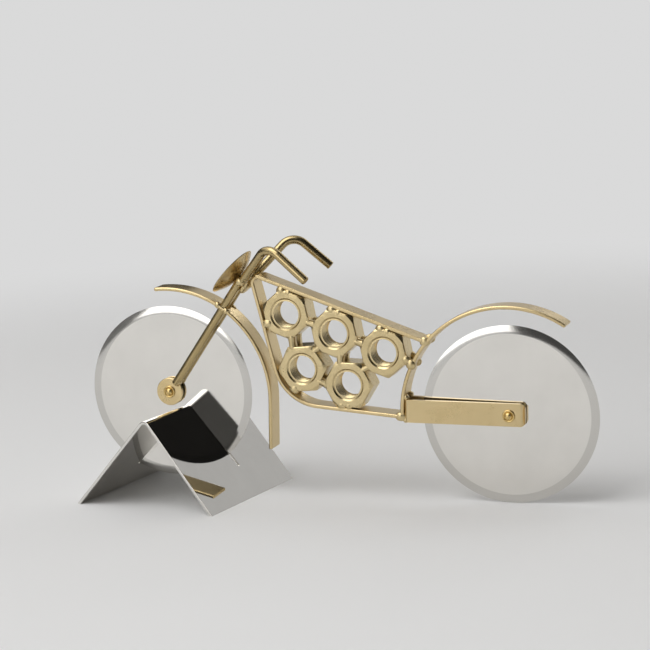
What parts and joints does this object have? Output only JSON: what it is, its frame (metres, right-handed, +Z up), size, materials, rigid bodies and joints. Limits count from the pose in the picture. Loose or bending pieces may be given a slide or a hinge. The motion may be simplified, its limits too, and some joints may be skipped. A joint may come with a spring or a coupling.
{
  "type": "pizza cutter",
  "caption": "Motorcycle-shaped pizza cutter: bevelled cutting wheels in a welded flat-bar frame filled with hexagon nuts, on a folded sheet stand slotted for the front wheel.",
  "frame": {"origin": "on the table, midway between the wheels' outer rims and in the wheels' plane", "axes": "+X to the bike's rear, -Y to its left side, +Z up"},
  "size_m": [0.2814, 0.0972, 0.1376],
  "materials": {
    "plated_bar": "satin gold plating on steel",
    "blade": "polished stainless steel",
    "stand_sheet": "polished stainless sheet"
  },
  "bodies": {
    "stand": {"stand": "stand_sheet"},
    "frame": {"front_axle_rivet": "plated_bar", "rear_axle_rivet": "plated_bar", "front_spacer_left": "plated_bar", "front_spacer_right": "plated_bar", "rear_spacer_left": "plated_bar", "rear_spacer_right": "plated_bar", "fork_rod_left": "plated_bar", "fork_rod_right": "plated_bar", "fork_eye_left": "plated_bar", "fork_eye_right": "plated_bar", "front_fender": "plated_bar", "rear_fender": "plated_bar", "frame_loop": "plated_bar", "nut_1": "plated_bar", "nut_2": "plated_bar", "nut_3": "plated_bar", "nut_4": "plated_bar", "nut_5": "plated_bar", "rear_fork": "plated_bar", "handlebar_left": "plated_bar", "handlebar_right": "plated_bar", "headlight_dish": "plated_bar", "headlight_stem": "plated_bar", "head_weld": "plated_bar"},
    "front_wheel": {"front_wheel": "blade"},
    "rear_wheel": {"rear_wheel": "blade"}
  },
  "joints": [
    {"name": "bike_lift", "type": "slide", "parent": "stand", "child": "frame", "axis": [0, 0, 1], "range_m": [0, 0.06]},
    {"name": "front_wheel_spin", "type": "hinge", "parent": "frame", "child": "front_wheel", "pos_m": [-0.09424, 0, 0.05607], "axis": [0, 1, 0], "continuous": true},
    {"name": "rear_wheel_spin", "type": "hinge", "parent": "frame", "child": "rear_wheel", "pos_m": [0.09424, 0, 0.0465], "axis": [0, 1, 0], "continuous": true}
  ]
}
